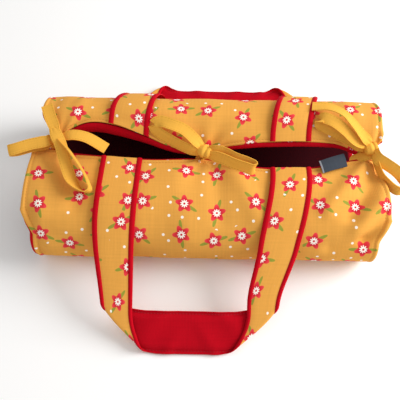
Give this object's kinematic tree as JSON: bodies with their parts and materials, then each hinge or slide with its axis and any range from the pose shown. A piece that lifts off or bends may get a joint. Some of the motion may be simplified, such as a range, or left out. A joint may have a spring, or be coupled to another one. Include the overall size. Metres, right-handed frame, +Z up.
{
  "type": "cake carrier",
  "caption": "Soft padded loaf-cake carrier bag with open ends, a long mouth tied by tape bows, a contrast lining and wide carrying handles.",
  "frame": {"origin": "under the middle of the base, on the underside of its outer cloth", "axes": "+X along the bag, +Y from the front panel to the back panel, +Z up"},
  "size_m": [0.4199, 0.3353, 0.0981],
  "materials": {
    "printed_cotton": null,
    "crimson_lining": "plain-woven crimson cotton",
    "crimson_band": "doubled crimson cotton, topstitched",
    "mustard_tape": "folded and stitched mustard cotton tape",
    "wadding": "soft white wadding",
    "slate_ribbon": "woven satin ribbon, bare"
  },
  "bodies": {
    "base": {"base_outer": "printed_cotton", "base_wadding": "wadding", "base_lining": "crimson_lining"},
    "front_panel": {"front_outer": "printed_cotton", "front_wadding": "wadding", "front_lining": "crimson_lining", "left_bow_front_root": "mustard_tape", "left_bow_outer_loop": "mustard_tape", "left_bow_inner_tail": "mustard_tape", "left_bow_front_loop": "mustard_tape", "centre_bow_front_root": "mustard_tape", "centre_bow_front_loop": "mustard_tape", "right_bow_front_root": "mustard_tape", "right_bow_front_loop": "mustard_tape", "woven_label": "slate_ribbon"},
    "back_panel": {"back_outer": "printed_cotton", "back_wadding": "wadding", "back_lining": "crimson_lining", "left_bow_knot": "mustard_tape", "left_bow_back_root": "mustard_tape", "left_bow_back_tail": "mustard_tape", "centre_bow_knot": "mustard_tape", "centre_bow_back_root": "mustard_tape", "centre_bow_back_loop": "mustard_tape", "centre_bow_short_tail": "mustard_tape", "centre_bow_long_tail": "mustard_tape", "right_bow_knot": "mustard_tape", "right_bow_back_root": "mustard_tape", "right_bow_back_tail": "mustard_tape", "right_bow_back_loop": "mustard_tape", "right_bow_tucked_tail": "mustard_tape"},
    "front_strap_ends": {"front_handle_left_end": "crimson_band", "front_handle_right_end": "crimson_band"},
    "front_handle": {"front_handle_band": "crimson_band", "front_handle_printed_strip": "printed_cotton"},
    "back_strap_ends": {"back_handle_left_end": "crimson_band", "back_handle_right_end": "crimson_band"},
    "back_handle": {"back_handle_band": "crimson_band", "back_handle_printed_strip": "printed_cotton"}
  },
  "joints": [
    {"name": "front_panel_open", "type": "hinge", "parent": "base", "child": "front_panel", "pos_m": [0, -0.079, 0], "axis": [1, 0, 0], "range_deg": [0, 50]},
    {"name": "back_panel_open", "type": "hinge", "parent": "base", "child": "back_panel", "pos_m": [0, 0.079, 0], "axis": [-1, 0, 0], "range_deg": [0, 50]},
    {"name": "front_strap_fold", "type": "hinge", "parent": "front_panel", "child": "front_strap_ends", "pos_m": [0, -0.006, 0.0667], "axis": [-1, 0, 0], "range_deg": [0, 40]},
    {"name": "back_strap_fold", "type": "hinge", "parent": "back_panel", "child": "back_strap_ends", "pos_m": [0, 0.022, 0.071], "axis": [1, 0, 0], "range_deg": [0, 42]},
    {"name": "front_handle_lift", "type": "hinge", "parent": "front_strap_ends", "child": "front_handle", "pos_m": [0, -0.0181, 0.0718], "axis": [-1, 0, 0], "range_deg": [0, 105]},
    {"name": "back_handle_lift", "type": "hinge", "parent": "back_strap_ends", "child": "back_handle", "pos_m": [0, 0.0312, 0.0812], "axis": [1, 0, 0], "range_deg": [0, 105]}
  ],
  "couplings": [
    {"joint": "front_strap_fold", "follows": "front_panel_open", "ratio": 0.8},
    {"joint": "back_strap_fold", "follows": "back_panel_open", "ratio": 0.84}
  ]
}
